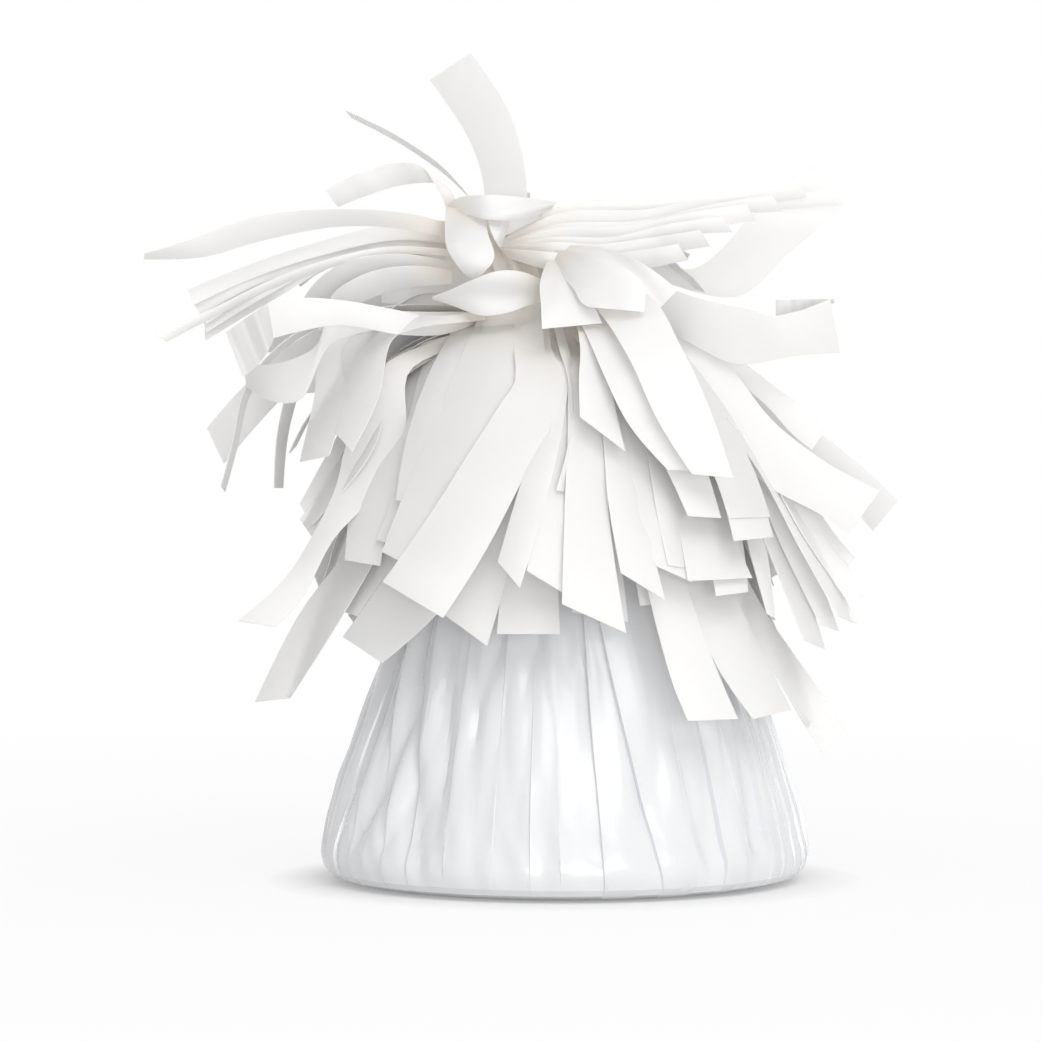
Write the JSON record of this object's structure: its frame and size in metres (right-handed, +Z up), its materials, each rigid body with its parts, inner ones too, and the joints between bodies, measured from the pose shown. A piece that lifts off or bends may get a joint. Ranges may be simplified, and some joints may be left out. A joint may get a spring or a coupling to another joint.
{
  "type": "balloon weight",
  "caption": "Free-standing balloon weight: a cast tapered core wrapped in pleated white film, tied at the neck under a mop of cut film strips.",
  "frame": {"origin": "middle of the flat foot, on the surface that the weight stands on", "axes": "+Z up through the neck, -Y towards the front, +X to the right seen from the front"},
  "size_m": [0.1051, 0.0939, 0.1178],
  "materials": {
    "wrap_film": "glossy white film, pleated and creased",
    "fringe_film": "satin white film strips, slightly see-through",
    "core_plaster": "bare cast plaster",
    "tie_strip": "white twist-tie strip"
  },
  "bodies": {
    "wrapped_weight": {"crown_fringe_back": "fringe_film", "crown_fringe_front": "fringe_film", "liner_sheet": "wrap_film", "low_fringe_back": "fringe_film", "low_fringe_front": "fringe_film", "low_fringe_left": "fringe_film", "low_fringe_right": "fringe_film", "main_fringe_back": "fringe_film", "main_fringe_front": "fringe_film", "main_fringe_left": "fringe_film", "main_fringe_right": "fringe_film", "mantle_fringe_back": "fringe_film", "mantle_fringe_front": "fringe_film", "mantle_fringe_left": "fringe_film", "mantle_fringe_right": "fringe_film", "neck_gather": "fringe_film", "neck_tie": "tie_strip", "outer_wrap": "wrap_film", "right_spray": "fringe_film", "upper_fringe_back": "fringe_film", "upper_fringe_front": "fringe_film", "upper_fringe_left": "fringe_film", "upper_fringe_right": "fringe_film", "weight_core": "core_plaster"},
    "back_right_strip": {"back_right_strip": "fringe_film"},
    "edge_strip": {"edge_strip": "fringe_film"},
    "folded_left_strip": {"folded_left_strip": "fringe_film"},
    "hook_strip": {"hook_strip": "fringe_film"},
    "long_left_strip": {"long_left_strip": "fringe_film"},
    "right_curl_strip": {"right_curl_strip": "fringe_film"},
    "tall_strip": {"tall_strip": "fringe_film"}
  },
  "joints": [
    {"name": "back_right_strip_bend", "type": "hinge", "parent": "wrapped_weight", "child": "back_right_strip", "pos_m": [-0.00177, 0.0039, 0.0859], "axis": [0.6144, -0.7696, -0.1736], "range_deg": [-4, 10], "stiffness_Nm_per_rad": 0.0004},
    {"name": "edge_strip_bend", "type": "hinge", "parent": "wrapped_weight", "child": "edge_strip", "pos_m": [-0.01427, 0.00367, 0.09319], "axis": [0.5864, 0.807, -0.0698], "range_deg": [-6, 12], "stiffness_Nm_per_rad": 0.0004},
    {"name": "folded_left_strip_bend", "type": "hinge", "parent": "wrapped_weight", "child": "folded_left_strip", "pos_m": [-0.01119, -0.00214, 0.08212], "axis": [-0.3387, 0.9305, -0.1392], "range_deg": [-4, 3], "stiffness_Nm_per_rad": 0.0004},
    {"name": "hook_strip_bend", "type": "hinge", "parent": "wrapped_weight", "child": "hook_strip", "pos_m": [-0.01561, 0, 0.09359], "axis": [0, 0.9703, -0.2419], "range_deg": [-4, 6], "stiffness_Nm_per_rad": 0.0004},
    {"name": "long_left_strip_bend", "type": "hinge", "parent": "wrapped_weight", "child": "long_left_strip", "pos_m": [-0.01471, -0.00214, 0.09211], "axis": [-0.3319, 0.9118, -0.2419], "range_deg": [-3, 12], "stiffness_Nm_per_rad": 0.0004},
    {"name": "right_curl_strip_bend", "type": "hinge", "parent": "wrapped_weight", "child": "right_curl_strip", "pos_m": [-0.00056, -0.00139, 0.0859], "axis": [-0.2211, -0.9653, -0.1392], "range_deg": [-2, 3], "stiffness_Nm_per_rad": 0.0004},
    {"name": "tall_strip_bend", "type": "hinge", "parent": "wrapped_weight", "child": "tall_strip", "pos_m": [-0.0095, 0, 0.0946], "axis": [0.9272, 0, 0.3746], "range_deg": [-12, 12], "stiffness_Nm_per_rad": 0.0004}
  ]
}
